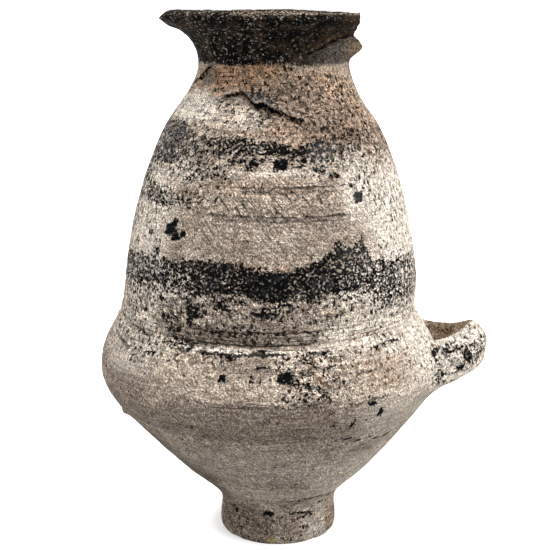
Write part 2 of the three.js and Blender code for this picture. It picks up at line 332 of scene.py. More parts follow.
def relief(azimuth, height, points):
    # Height of the hand-made surface over the turned one, outwards: what stands out less what is worn away
    top, neck = urnForm["height"], urnForm["neck"][1]
    scar, wave = damage["scar"], uneven(points, "wave")
    broken = edgeHeight(azimuth, scar)
    inCrack = window(scar["azimuths"][0], scar["azimuths"][-1], 3, azimuth)
    lipEdge = between(top - 0.0095, top - 0.005, height)
    rough = between(neck, neck + 0.004, height)
    raised = sum(uneven(points, name) for name in ("swell", "lumps", "grain")) - marks["sunk"]
    raised = raised + uneven(points * marks["wipeStretch"], "wipes")
    raised = raised + ring(height, marks["ledge"], marks["ledge"][0] + wave)
    raised = raised + ring(height, marks["lump"]) * bell(azimuth, *marks["lumpAzimuth"])
    aboveCrack = ring(height, marks["crackLip"], broken + marks["crackLip"][0])
    raised = raised + aboveCrack * window(-36, 22, 8, azimuth)
    raised = raised + ring(height, marks["bead"], top - marks["bead"][0])
    worn = sum(edgeScar(azimuth, height, edge) for edge in damage.values())
    for level, depth, width, seed in marks["grooves"]:
        deeper = 0.75 + 0.35 * cloud(points, 0.030, seed, 2)
        worn = worn + depth * bell(height, level + wave, width) * deeper
    worn = worn + inCrack * ring(height, marks["crack"], broken - marks["crack"][0])
    worn = worn + hollowed(points, "pits") * between(0.03, 0.05, height)
    worn = worn + hollowed(points, "foot") * bell(height, 0.001, 0.0045)
    worn = worn + lipEdge * hollowed(points, "nibbles")
    chip = ring(height, marks["chip"], top - marks["chip"][0]) * bell(azimuth, *marks["chipAzimuth"])
    worn = worn + lipEdge * chip
    return raised - worn - rough * (hollowed(points, "pocks") - uneven(points, "mouth"))


def closedMesh(name, grid, materialIndex=0):
    # A mesh from a grid of rings that close on themselves, with a pole point at the middle of each end ring
    rows, columns = grid.shape[:2]
    verts = np.vstack([grid.reshape(-1, 3), grid[0].mean(axis=0), grid[-1].mean(axis=0)])
    row, column = np.meshgrid(np.arange(rows - 1), np.arange(columns), indexing="ij")
    after = (column + 1) % columns
    quads = np.stack([row * columns + column, row * columns + after, (row + 1) * columns + after,
                      (row + 1) * columns + column], axis=-1).reshape(-1, 4)
    around = np.arange(columns)
    onward = (around + 1) % columns
    end = (rows - 1) * columns
    first = np.stack([onward, around, np.full(columns, rows * columns)], axis=1)
    last = np.stack([end + around, end + onward, np.full(columns, rows * columns + 1)], axis=1)
    mesh = bpy.data.meshes.new(name)
    mesh.from_pydata(verts.tolist(), [], quads.tolist() + first.tolist() + last.tolist())
    mesh.update()
    mesh.polygons.foreach_set("material_index", np.full(len(mesh.polygons), materialIndex, dtype=np.int32))
    piece = bpy.data.objects.new(name, mesh)
    bpy.context.scene.collection.objects.link(piece)
    return piece


def turnedGrid(line, columns, crowding, shaped):
    # The line carried round the axis, x = r sin a and y = -r cos a, moved out along its own normal by relief
    turn = np.linspace(-math.pi, math.pi, columns, endpoint=False)
    azimuth = turn - crowding * np.sin(turn)
    run = direction(line)
    radius, height = line[:, :1] + 0 * azimuth, line[:, 1:] + 0 * azimuth
    x, y, z = settle(radius * np.sin(azimuth), -radius * np.cos(azimuth), height)
    if shaped:
        out = relief(np.degrees(azimuth) + 0 * height, height, np.stack([x, y, z], axis=-1))
        upright = np.where(height < 0.002, 0.0, -run[:, :1])
        radius = radius + out * run[:, 1:]
        height = np.minimum(height + out * upright, urnForm["height"] - 0.0002)
        x, y, z = settle(radius * np.sin(azimuth), -radius * np.cos(azimuth), height)
    return np.stack([x, y, z], axis=-1)


def bodyPiece():
    form = urnForm

    def thickening(height):
        return np.interp(height, form["rowHeights"], form["rowShares"])

    line = crowded(outerLine(), form["rows"], thickening)
    return closedMesh("urnClay", turnedGrid(line, form["columns"], form["frontCrowding"], True))


def cavityPiece():
    def thickening(height):
        return 1.0 + 1.2 * between(0.34, 0.35, height)

    line = crowded(innerLine(), urnForm["cavityRows"], thickening)
    grid = turnedGrid(line, urnForm["cavityColumns"], 0.0, False)
    ripple = uneven(grid * np.array([0.3, 0.3, 1.0]), "inside")
    grid[..., :2] *= (1.0 + ripple / np.maximum(np.hypot(grid[..., 0], grid[..., 1]), 0.01))[..., None]
    return closedMesh("cavity", grid, 1)


# The loop handle: an upright strap whose outer and inner faces are two arches in plan
handleForm = {
    "reach": boxHigh[0],
    "thickness": 0.016,
    "rootThickness": 0.62,
    "strapHeight": 0.0328,
    "tipHeight": 0.1422,
    "rootAbove": 0.004,
    "rootBelow": 0.0245,
    "saddle": 0.021,
    "underSaddle": 0.24,
    "halfSpan": 0.046,
    "rootX": 0.0925,
    "archReach": 0.42,
    "archSpan": 0.60,
    "archSpread": 0.8,
    "outerHug": 0.38,
    "innerHug": 0.22,
    "tipGap": 0.0003,
    "sectionPower": 2.15,
    "topLean": 0.5,
    "nearRise": 0.0065,
    "nearSag": 0.0060,
    "rings": 96,
    "sides": 44,
    "loopCentre": (0.116, 0.0),
    "rootArc": (0.043, 0.013),
    "rootHeight": (0.130, 0.025),
    "rootBlend": 0.5,
    "rootRounds": 36,
}


def handlePiece():
    form = handleForm
    along = np.linspace(-1.0, 1.0, form["rings"])
    fromRoot = (1.0 - np.abs(along))[:, None]
    side = np.sign(along + 1e-9)[:, None]

    def curve(*points):
        # A cubic curve from the root to the tip
        return cubic(fromRoot, *[np.array(point, dtype=float) for point in points])

    def arch(wider, tip, hug):
        # Half an arch in plan, from the root at full span to the tip, where it runs along Y
        root, half = form["rootX"], form["halfSpan"]
        reach = (form["reach"] - root) * form["archReach"]
        spread = half * form["archSpan"] + wider * form["archSpread"]
        return curve((root, half + wider), (root + reach, spread), (tip, half * hug), (tip, 0.0))

    wider = form["thickness"] * form["rootThickness"]
    outer = arch(wider, form["reach"] - form["tipGap"], form["outerHug"])
    inner = arch(-wider, form["reach"] - form["thickness"], form["innerHug"])
    top, bottom = form["tipHeight"] + form["strapHeight"] / 2, form["tipHeight"] - form["strapHeight"] / 2
    under = form["saddle"] * form["underSaddle"]
    upper = curve([top + form["rootAbove"]], [top - form["saddle"]], [top], [top])
    lower = curve([bottom - form["rootBelow"]], [bottom - under], [bottom], [bottom])
    swell = 3.0 * (1.0 - fromRoot) * fromRoot ** 2 * (side < 0)
    upper = upper + form["nearRise"] * swell
    lower = lower - form["nearSag"] * swell
    turn = np.linspace(0.0, 2 * math.pi, form["sides"], endpoint=False)[None, :]

    def rounded(value):
        # 0 to 1 across an oval section: (1 + sign(v) |v|^(2/power)) / 2
        return 0.5 + 0.5 * np.sign(value) * np.abs(value) ** (2.0 / form["sectionPower"])

    across, up = rounded(np.cos(turn)), rounded(-np.sin(turn))
    across = across * (1.0 - form["topLean"] * np.maximum(2.0 * up - 1.0, 0.0) ** 2)
    x = inner[:, :1] + (outer[:, :1] - inner[:, :1]) * across
    y = (inner[:, 1:] + (outer[:, 1:] - inner[:, 1:]) * across) * side
    z = lower + (upper - lower) * up
    grid = np.stack([x, y, z], axis=-1)
    away = grid - grid.mean(axis=1, keepdims=True)
    away /= np.maximum(np.linalg.norm(away, axis=-1, keepdims=True), 1e-6)
    rough = uneven(grid, "strap") - marks["sunk"] + uneven(grid, "strapGrain") - hollowed(grid, "strap")
    return closedMesh("handle", grid + away * rough[..., None])


# The break: the lip is gone past a distance on the handle's side, with a notch and a tongue of the neck below
breakForm = {
    "distance": 0.0537,
    "notch": 0.0034,
    "notchDrop": 0.017,
    "tongueDrop": 0.0265,
    "tongueReach": 0.0586,
    "rimWays": [(0.2, 0.25), (0.55, 0.55)],
    "ledgeWay": 0.4,
    "farShear": 0.05,
    "past": 0.120,
    "over": 0.010,
    "step": 0.0010,
    "rings": 120,
}


def breakPiece():
    # A slab whose torn edge is carried along Y, from the tongue at its foot up to the rim
    form, top = breakForm, urnForm["height"]
    notchX, notchZ = form["distance"] - form["notch"], top - form["notchDrop"]
    tongueX, tongueZ = form["tongueReach"], top - form["tongueDrop"]
    corners = np.array([
        [form["past"], tongueZ - 0.005],
        [tongueX, tongueZ],
        [0.5 * (notchX + tongueX), notchZ + form["ledgeWay"] * (tongueZ - notchZ)],
        [notchX, notchZ],
        *[[notchX + out * form["notch"], notchZ + up * form["notchDrop"]] for out, up in form["rimWays"]],
        [form["distance"], top - urnForm["rimDroop"]],
        [form["distance"], top + form["over"]],
        [form["past"], top + form["over"]],
    ])
    lengths = np.linalg.norm(np.diff(corners, axis=0), axis=1)
    counts = np.maximum((lengths / form["step"]).astype(int), 3)
    counts[[0, -1]] = 5
    edge = np.vstack([
        corners[i] + (corners[i + 1] - corners[i]) * np.linspace(0, 1, counts[i], endpoint=False)[:, None]
        for i in range(len(lengths))
    ] + [corners[-1:]])
    y = np.linspace(-form["past"], form["past"], form["rings"])[:, None]
    x = edge[None, :, 0] + 0 * y - np.maximum(y, 0.0) * form["farShear"]
    z = edge[None, :, 1] + 0 * y
    grid = np.stack([x, y + 0 * x, z], axis=-1)
    torn = uneven(grid, "break") + uneven(grid, "tear")
    near = 1.0 - between(0.075, 0.100, grid[..., 0])
    grid[..., 0] += near * torn
    grid[..., 2] += near * uneven(grid, "breakRise")
    return closedMesh("breakTool", grid, 2)


def joined(base, tool, operation):
    # The base mesh after a boolean with the tool, which is then removed
    modifier = base.modifiers.new("join", "BOOLEAN")
    modifier.object = tool
    modifier.operation = operation
    modifier.solver = "MANIFOLD"
    bpy.context.view_layer.update()
    made = bpy.data.meshes.new_from_object(base.evaluated_get(bpy.context.evaluated_depsgraph_get()))
    base.modifiers.clear()
    base.data = made
    bpy.data.objects.remove(tool)
    return base


def pointRows(source, name):
    # A property with three numbers a point, as rows of an array
    flat = np.empty(len(source) * 3)
    source.foreach_get(name, flat)
    return flat.reshape(-1, 3)


def outsideRadius(height):
    line = outerLine()
    keep = np.concatenate([[True], np.diff(line[:, 1]) > 1e-6])
    return np.interp(height, line[keep, 1], line[keep, 0])


def place(points):
    # Azimuth in degrees from the front, and distance outside the turned outline, about the drifted axis
    x = points[:, 0] - drift(points[:, 2])
    return np.degrees(np.arctan2(x, -points[:, 1])), np.hypot(x, points[:, 1]) - outsideRadius(points[:, 2])


def softenRoots(mesh):
    # Smooths the crease where the handle meets the wall: each point moves towards the mean of its neighbours,
    # by exp(-((q - 1) / rootBlend)^2), where q = 1 on an oval round each root
    form = handleForm
    points = pointRows(mesh.vertices, "co")
    azimuth, out = place(points)
    arc = np.radians(azimuth - 90.0) * outsideRadius(points[:, 2])
    (rootArc, arcWidth), (rootHeight, heightWidth) = form["rootArc"], form["rootHeight"]
    oval = np.hypot((np.abs(arc) - rootArc) / arcWidth, (points[:, 2] - rootHeight) / heightWidth)
    onSurface = (1.0 - between(0.004, 0.016, out)) * between(-0.005, -0.003, out)
    weight = bell(oval, 1.0, form["rootBlend"]) * onSurface
    links = np.empty(len(mesh.edges) * 2, dtype=np.int32)
    mesh.edges.foreach_get("vertices", links)
    links = links.reshape(-1, 2)
    count = np.bincount(links.ravel(), minlength=len(points))
    for step in range(form["rootRounds"]):
        total = np.stack([
            np.bincount(links[:, 0], points[links[:, 1], axis], len(points))
            + np.bincount(links[:, 1], points[links[:, 0], axis], len(points)) for axis in range(3)
        ], axis=1)
        points = points + (weight * 0.5)[:, None] * (total / count[:, None] - points)
    mesh.vertices.foreach_set("co", points.ravel())
    mesh.update()


# The two painted bands of black slip, as azimuth, top edge, bottom edge and how much of it is left
lowerBand = np.array([
    [-120, 0.218, 0.197, 0.62], [-90, 0.216, 0.196, 0.56], [-66, 0.2168, 0.197, 0.7],
    [-52, 0.22, 0.196, 0.74], [-40, 0.2205, 0.199, 0.74], [-33, 0.2212, 0.199, 0.84],
    [-20, 0.2222, 0.2, 0.95], [-12, 0.2215, 0.201, 0.96], [-7, 0.218, 0.2, 0.99], [0, 0.2165, 0.199, 1.05],
    [6, 0.2155, 0.199, 1.05], [10, 0.219, 0.199, 0.97], [17, 0.2215, 0.199, 0.93], [22, 0.2275, 0.2, 0.9],
    [26, 0.2325, 0.201, 0.86], [31, 0.23, 0.2, 0.84], [37, 0.235, 0.199, 0.8], [41, 0.22, 0.195, 0.72],
    [47, 0.218, 0.19, 0.75], [56, 0.2165, 0.187, 0.68], [66, 0.2165, 0.187, 0.6],
    [78, 0.2165, 0.189, 0.52], [110, 0.219, 0.196, 0.6], [170, 0.222, 0.199, 0.78],
])
upperBand = np.array([
    [-150, 0.304, 0.28, 0.62], [-100, 0.305, 0.28, 0.66], [-82, 0.3065, 0.277, 0.66],
    [-66, 0.3075, 0.2785, 0.8], [-54, 0.3055, 0.2795, 0.78], [-47, 0.303, 0.2815, 0.58],
    [-40, 0.301, 0.283, 0.5], [-30, 0.3, 0.286, 0.54], [-24, 0.299, 0.2872, 0.64],
    [-20, 0.2985, 0.2882, 0.82], [-10, 0.299, 0.2892, 0.92], [0, 0.2978, 0.2893, 0.93],
    [6, 0.2952, 0.2888, 0.97], [10, 0.2922, 0.286, 0.82], [13, 0.2948, 0.2828, 0.8],
    [18, 0.2965, 0.2822, 0.78], [24, 0.2985, 0.282, 0.66], [30, 0.3, 0.284, 0.54],
    [40, 0.303, 0.286, 0.38], [60, 0.305, 0.286, 0.32], [95, 0.304, 0.281, 0.45], [130, 0.304, 0.279, 0.6],
])

# Smaller remains of the slip: azimuth, height, half widths in degrees and metres, and how much is left
slipPatches = [
    (-12, 0.2838, 9, 0.0026, 0.98), (-9, 0.2806, 3, 0.0022, 0.9), (4, 0.2832, 4, 0.0036, 1.4),
    (22, 0.2785, 3, 0.0024, 0.92), (28, 0.2745, 3, 0.0028, 0.86), (38.5, 0.2612, 2.8, 0.004, 1.5),
    (36, 0.269, 2.2, 0.002, 0.9), (-55, 0.2545, 14, 0.0022, 0.86), (-50, 0.26, 15, 0.0056, 0.52),
    (-33, 0.259, 4, 0.004, 0.6), (-36, 0.276, 8, 0.0075, 0.46), (-24, 0.277, 8, 0.005, 0.4),
    (-43.5, 0.2388, 3.2, 0.0034, 2.0), (-41.3, 0.243, 1.4, 0.0028, 1.9), (-39.4, 0.2354, 3.2, 0.002, 2.0),
    (-36.6, 0.2382, 1.1, 0.0024, 1.8), (-51.5, 0.2322, 3.2, 0.0014, 1.0), (-66, 0.2252, 2.2, 0.0014, 0.9),
    (-54.5, 0.2345, 1.4, 0.0026, 0.9), (-59, 0.2352, 3.5, 0.0009, 0.85), (-50, 0.2235, 2.4, 0.004, 0.82),
    (-62, 0.2605, 12, 0.0056, 0.66), (-76, 0.264, 8, 0.017, 0.56), (-78, 0.24, 7, 0.012, 0.42),
    (-46, 0.249, 2.2, 0.0014, 0.9), (-28.5, 0.1882, 3.4, 0.0062, 0.92), (-29.5, 0.1815, 1.4, 0.005, 0.88),
    (-17, 0.194, 3.2, 0.0042, 0.9), (-14, 0.1985, 12, 0.0012, 0.92), (-2, 0.1892, 5.5, 0.0038, 0.88),
    (2, 0.196, 6, 0.004, 0.66), (-44, 0.194, 3, 0.003, 0.72), (-38, 0.183, 6, 0.0026, 0.62),
    (-36, 0.1745, 4, 0.0028, 0.66), (13.5, 0.1604, 2.6, 0.0032, 0.7), (18, 0.1636, 5, 0.0016, 0.76),
    (5, 0.1506, 2.6, 0.0031, 1.3), (8, 0.147, 2.0, 0.0026, 0.8), (12, 0.144, 3.2, 0.005, 0.44),
    (11, 0.1372, 3.0, 0.0024, 0.66), (15.5, 0.14, 3.0, 0.006, 0.42), (12, 0.152, 3.2, 0.003, 0.46),
    (-14.5, 0.1497, 1.3, 0.003, 1.0), (-5.5, 0.1497, 0.8, 0.0032, 1.0), (-2.7, 0.15, 0.4, 0.0024, 0.9),
    (0.5, 0.15, 0.4, 0.0026, 0.9), (3, 0.1496, 0.5, 0.003, 0.9), (-20, 0.15, 3.4, 0.0008, 0.8),
    (-2, 0.1564, 3.0, 0.001, 0.8), (-33, 0.166, 8, 0.0038, 0.56), (-44, 0.157, 3.0, 0.0018, 0.76),
    (33.3, 0.129, 2.0, 0.0013, 1.4), (36.7, 0.122, 1.1, 0.0026, 1.7), (26.3, 0.1165, 0.9, 0.0044, 0.95),
    (26.8, 0.104, 2.4, 0.0014, 1.1), (32, 0.0995, 1.6, 0.0014, 1.0), (36, 0.1006, 2.4, 0.0008, 0.95),
    (41.5, 0.0972, 1.6, 0.0011, 1.0), (47.5, 0.0968, 2.6, 0.0017, 1.1), (16, 0.1162, 4.5, 0.0011, 0.95),
    (20, 0.1185, 1.6, 0.0012, 0.9), (22, 0.1035, 0.9, 0.0014, 0.9), (-8, 0.0242, 4.8, 0.0014, 1.15),
    (-47, 0.024, 4.0, 0.0013, 1.1), (-44, 0.0222, 1.4, 0.002, 1.0), (-13, 0.0555, 2.0, 0.0008, 1.0),
    (-42, 0.015, 1.2, 0.004, 0.7), (30, 0.0115, 2.8, 0.001, 1.1), (13, 0.0035, 1.6, 0.0008, 1.0),
    (35, 0.019, 2.4, 0.0014, 0.95), (38, 0.0368, 3.4, 0.0007, 1.0), (48, 0.0355, 3.6, 0.0008, 1.0),
    (43, 0.03, 3.4, 0.001, 1.05), (-12, 0.325, 8, 0.0034, 0.82), (-3, 0.3215, 6, 0.0024, 0.74),
    (-33, 0.1, 1.0, 0.0008, 1.0), (-2, 0.166, 1.6, 0.0008, 0.9), (-10, 0.1655, 2.4, 0.0009, 0.9),
    (-13, 0.1618, 1.6, 0.0012, 0.8), (170, 0.119, 5, 0.003, 0.66), (-120, 0.098, 4, 0.002, 0.66),
    (140, 0.25, 9, 0.006, 0.62), (-150, 0.242, 5, 0.004, 0.9), (-110, 0.258, 20, 0.0045, 0.46),
]

# Remains of the slip on the handle's outer face: distance along X, height, half widths in metres, share left
armPatches = [
    (0.1345, 0.1402, 0.0034, 0.004, 1.1), (0.1375, 0.1362, 0.003, 0.0036, 1.0),
    (0.1305, 0.1302, 0.0036, 0.003, 1.1), (0.109, 0.145, 0.0085, 0.003, 0.98),
    (0.123, 0.1448, 0.011, 0.003, 0.74), (0.121, 0.137, 0.014, 0.009, 0.28),
    (0.14, 0.141, 0.011, 0.01, 0.42), (0.111, 0.1285, 0.006, 0.0026, 0.86),
    (0.117, 0.129, 0.003, 0.0024, 0.9), (0.142, 0.1335, 0.003, 0.0022, 0.8),
    (0.148, 0.143, 0.006, 0.009, 0.34), (0.114, 0.123, 0.007, 0.004, 0.36),
]

# Broad tones of the clay: azimuth, height, half widths and strength
toneAreas = {
    "warm": [
        (-20, 0.337, 40, 0.012, 0.95), (30, 0.318, 46, 0.028, 0.72), (-50, 0.332, 26, 0.012, 0.7),
        (-10, 0.31, 26, 0.012, 0.42), (66, 0.3, 26, 0.044, 0.4), (120, 0.325, 46, 0.022, 0.66),
        (180, 0.322, 46, 0.022, 0.66), (-120, 0.325, 46, 0.022, 0.6), (48, 0.15, 18, 0.02, 0.25),
        (66, 0.011, 14, 0.008, 0.55), (5, 0.216, 5, 0.004, 0.6), (-9, 0.2185, 5, 0.003, 0.7),
        (20, 0.2145, 8, 0.002, 0.4), (-5, 0.268, 30, 0.006, 0.3), (17, 0.1275, 5, 0.003, 0.5),
    ],
    # Pale areas: chalky clay; the thin line along the ledge at height 0.1645 is a painted highlight on its
    # ridge
    "paleAndHighlight": [
        (-56, 0.204, 32, 0.016, 0.75), (50, 0.204, 30, 0.018, 0.85), (66, 0.236, 26, 0.05, 1.0),
        (50, 0.172, 34, 0.018, 0.72), (84, 0.15, 34, 0.044, 0.85), (-66, 0.24, 24, 0.05, 0.72),
        (-58, 0.316, 26, 0.011, 0.95), (-42, 0.276, 12, 0.01, 0.55), (44, 0.262, 14, 0.028, 0.7),
        (-76, 0.276, 10, 0.028, 0.6), (0, 0.2787, 30, 0.0016, 0.45), (100, 0.23, 40, 0.06, 0.55),
        (-10, 0.1645, 34, 0.0022, 0.8), (50, 0.118, 22, 0.02, 0.4), (-20, 0.311, 18, 0.008, 0.45),
        (-60, 0.16, 26, 0.022, 0.5), (-62, 0.186, 20, 0.016, 0.45), (46, 0.06, 26, 0.03, 0.4),
        (6, 0.046, 40, 0.008, 0.3), (40, 0.014, 16, 0.02, 0.3), (-10, 0.078, 50, 0.018, 0.22),
        (-60, 0.2865, 14, 0.003, 0.6),
    ],
    # Dull areas: duller clay, and painted shade under the belly, round the foot, down the left side, along
    # the right edge, in the groove above the belt and under the steps of the scar and the flake
    "dullAndShade": [
        (0, 0.117, 200, 0.013, 0.6), (0, 0.006, 200, 0.018, 0.7), (-70, 0.094, 26, 0.02, 0.6),
        (-40, 0.01, 44, 0.024, 1.1), (-62, 0.06, 30, 0.04, 1.1), (-62, 0.15, 22, 0.026, 0.6),
        (-56, 0.3345, 9, 0.0065, 1.0), (10, 0.322, 34, 0.014, 0.62), (30, 0.312, 26, 0.014, 0.62),
        (0, 0.1275, 38, 0.0065, 0.85), (0, 0.236, 36, 0.024, 0.25), (-6, 0.3128, 10, 0.007, 0.85),
        (70, 0.252, 12, 0.014, 0.55), (-8, 0.173, 44, 0.006, 0.85), (4, 0.183, 38, 0.004, 0.4),
        (40, 0.305, 26, 0.02, 0.4), (-2, 0.304, 30, 0.004, 0.35), (-2, 0.19, 44, 0.008, 0.25),
        (-20, 0.08, 30, 0.02, 0.35),
    ],
    "speckle": [
        (-6, 0.313, 11, 0.008, 1.0), (-34, 0.313, 26, 0.013, 0.66), (-66, 0.252, 22, 0.034, 0.7),
        (35, 0.316, 50, 0.026, 0.95), (50, 0.282, 22, 0.02, 0.75), (62, 0.21, 26, 0.03, 0.6),
        (-10, 0.335, 54, 0.012, 0.66), (-22, 0.304, 24, 0.012, 0.62), (62, 0.268, 26, 0.04, 0.72),
        (140, 0.316, 60, 0.024, 0.7), (-120, 0.316, 60, 0.024, 0.6), (-34, 0.268, 26, 0.02, 0.6),
        (-60, 0.18, 40, 0.022, 0.92), (-22, 0.186, 40, 0.012, 0.9), (24, 0.188, 40, 0.01, 0.76),
        (50, 0.176, 30, 0.024, 0.52), (14, 0.15, 16, 0.02, 0.8), (-30, 0.163, 26, 0.01, 0.72),
        (-66, 0.232, 24, 0.024, 0.4), (88, 0.14, 40, 0.036, 0.56), (0, 0.06, 200, 0.04, 0.12),
        (0, 0.01, 200, 0.018, 0.5), (-8, 0.2585, 44, 0.014, 0.25), (-8, 0.173, 40, 0.005, 0.86),
        (-76, 0.2, 14, 0.1, 0.62), (66, 0.18, 20, 0.012, 0.66), (-60, 0.294, 30, 0.016, 0.6),
        (74, 0.3, 18, 0.06, 0.7), (-48, 0.16, 16, 0.014, 0.7),
    ],
    "pitted": [
        (34, 0.153, 17, 0.017, 1.0), (46, 0.15, 11, 0.016, 0.7), (20, 0.15, 9, 0.014, 0.55),
        (88, 0.14, 28, 0.032, 0.4), (-28, 0.16, 12, 0.008, 0.3), (52, 0.172, 11, 0.01, 0.5),
    ],
    "lined": [
        (6, 0.2495, 40, 0.004, 0.55), (5, 0.2668, 44, 0.0042, 0.6), (-6, 0.3385, 50, 0.0075, 0.75),
        (-2, 0.1525, 34, 0.003, 0.65), (0, 0.1325, 34, 0.003, 0.6), (0, 0.172, 74, 0.0085, 0.75),
        (-66, 0.16, 22, 0.012, 0.55), (0, 0.275, 30, 0.0024, 0.5), (0, 0.233, 50, 0.006, 0.2),
        (10, 0.04, 40, 0.006, 0.35),
    ],
    "hatched": [
        (4, 0.256, 36, 0.011, 1.0), (-8, 0.24, 34, 0.012, 0.6), (-16, 0.143, 9, 0.008, 0.7),
        (20, 0.336, 38, 0.006, 0.9), (-10, 0.345, 40, 0.004, 0.9), (-64, 0.32, 18, 0.02, 0.8),
    ],
    "brushed": [
        (2, 0.246, 46, 0.044, 1.0), (10, 0.145, 60, 0.03, 0.7), (0, 0.19, 50, 0.014, 0.6),
        (-20, 0.08, 70, 0.04, 0.8), (-66, 0.318, 26, 0.024, 0.6),
    ],
    "yellow": [(-5.4, 0.0036, 5.2, 0.0019, 1.0)],
    "thin": [
        (-62, 0.294, 24, 0.014, 0.85), (25, 0.29, 9, 0.01, 0.8), (-10, 0.3235, 12, 0.006, 1.0),
        (36, 0.2615, 6, 0.006, 0.7), (33, 0.222, 10, 0.012, 0.35), (-56, 0.212, 14, 0.006, 0.55),
        (120, 0.29, 30, 0.014, 0.6),
    ],
    "spall": [
        (34, 0.3568, 5, 0.0018, 0.85), (40, 0.3606, 6, 0.0028, 0.95), (50, 0.3648, 3, 0.0012, 0.6),
    ],
}


def ovalShare(across, up):
    # 1 inside an oval and 0 outside it, fading over its distances 0.62 to 1.22
    return 1.0 - between(0.62, 1.22, np.hypot(across, up))


def spread(azimuth, height, areas, warpA, warpZ):
    # The strongest of a set of soft ovals, their places warped by noise so that no edge is a plain oval
    total = np.zeros_like(azimuth)
    for middle, level, halfA, halfZ, strength in areas:
        apart = (azimuth + warpA - middle + 180.0) % 360.0 - 180.0
        rise = height + warpZ * min(1.0, halfZ / 0.006) - level
        total = np.maximum(total, strength * ovalShare(apart / halfA, rise / halfZ))
    return total


def bandCover(azimuth, height, band, warpZ, fringe):
    # Slip left in a band: its share between the edges, and speckled fringes that fade out below and above
    top, bottom, cover = [np.interp(azimuth, band[:, 0], band[:, i], period=360) for i in (1, 2, 3)]
    level = height + warpZ
    under, over = bottom - level, level - top
    inside = (1.0 - between(-0.0010, 0.0012, over)) * (1.0 - between(-0.0020, 0.0024, under))
    below = (1.0 - between(0.0, fringe, under)) * between(-0.002, 0.001, under)
    above = (1.0 - between(0.0, 0.006, over)) * between(-0.001, 0.001, over)
    return np.maximum(cover * inside, np.maximum(0.50 * below, 0.22 * above) * np.minimum(cover, 0.9))


def slipLeft(points, azimuth, out, warpA, warpZ):
    # The share of slip at each point: bands and patches on the wall, and patches on both arms of the handle
    height, onWall = points[:, 2], 1.0 - between(0.006, 0.012, out)
    slip = np.maximum(bandCover(azimuth, height, lowerBand, warpZ * 0.8, 0.015),
                      bandCover(azimuth, height, upperBand, warpZ * 0.8, 0.009))
    slip = slip * (1.0 + uneven(points, "slipShare"))
    slip = np.maximum(slip, spread(azimuth, height, slipPatches, warpA * 0.8, warpZ * 0.7)) * onWall
    warp = uneven(points, "strapEdge")
    onStrap = between(-0.001, 0.001, out) * between(48, 56, azimuth)
    for x, z, halfX, halfZ, share in armPatches:
        oval = ovalShare((points[:, 0] + warp - x) / halfX, (height + warp - z) / halfZ)
        slip = np.maximum(slip, share * oval * onStrap)
    onFar = between(92, 100, azimuth) * between(0.002, 0.006, out)
    return np.maximum(slip, onFar * (0.36 + uneven(points, "farSlip")))


def strapInside(mesh, points, out):
    # Where the handle's surface faces the middle of its loop
    inward = np.array(handleForm["loopCentre"]) - points[:, :2]
    inward /= np.linalg.norm(inward, axis=1)[:, None]
    facing = (pointRows(mesh.vertex_normals, "vector")[:, :2] * inward).sum(axis=1)
    return between(0.05, 0.45, facing) * between(0.0015, 0.004, out)


def paintPoints(mesh):
    # Point attributes that say where each finish lies, as soft shares that the material sharpens
    points = pointRows(mesh.vertices, "co")
    azimuth, out = place(points)
    height, top = points[:, 2], urnForm["height"]
    warpA, warpZ = uneven(points, "edgeTurn"), uneven(points, "edgeHeight")
    onWall = 1.0 - between(0.006, 0.012, out)
    shares = {}
    for name, areas in toneAreas.items():
        shares[name] = spread(azimuth, height, areas, warpA * 2.0, warpZ * 2.0)
    shares["paleAndHighlight"] = np.maximum(shares["paleAndHighlight"], (1.0 - onWall) * 0.90)
    shares["pitted"] = np.maximum(shares["pitted"], (1.0 - onWall) * 0.45)
    shares["warm"] = shares["warm"] * onWall
    shares["slip"] = slipLeft(points, azimuth, out, warpA, warpZ)
    # The band round the mouth is soot, and painted shade under the flare as well
    shares["sootAndShade"] = between(0.3415, 0.3475, height + warpZ * 1.4) * onWall
    underMouth = 1.0 - between(-0.001, 0.001, height - edgeHeight(azimuth, damage["mouth"]))
    shares["ashen"] = bell(azimuth, 58, 30) * underMouth
    shares["brownArm"] = strapInside(mesh, points, out)
    # The lip's lighter tone is worn clay and a painted highlight along its top
    wornAndLitLip = 0.08 + 0.92 * between(-30, -16, azimuth + warpA * 2) * (1.0 - between(60, 110, azimuth))
    shares["lip"] = between(top - 0.0042, top - 0.0026, height + warpZ * 0.5) * wornAndLitLip
    for name, values in shares.items():
        layer = mesh.attributes.new(name, "FLOAT", "POINT")
        layer.data.foreach_set("value", np.clip(values, 0.0, 2.0).astype(np.float32))


def srgb(red, green, blue):
    # A colour given as it shows on screen, 0 to 255, as the linear colour a shader takes
    shares = np.array([red, green, blue]) / 255.0
    linear = np.where(shares <= 0.04045, shares / 12.92, ((shares + 0.055) / 1.055) ** 2.4)
    return (*[float(value) for value in linear], 1.0)


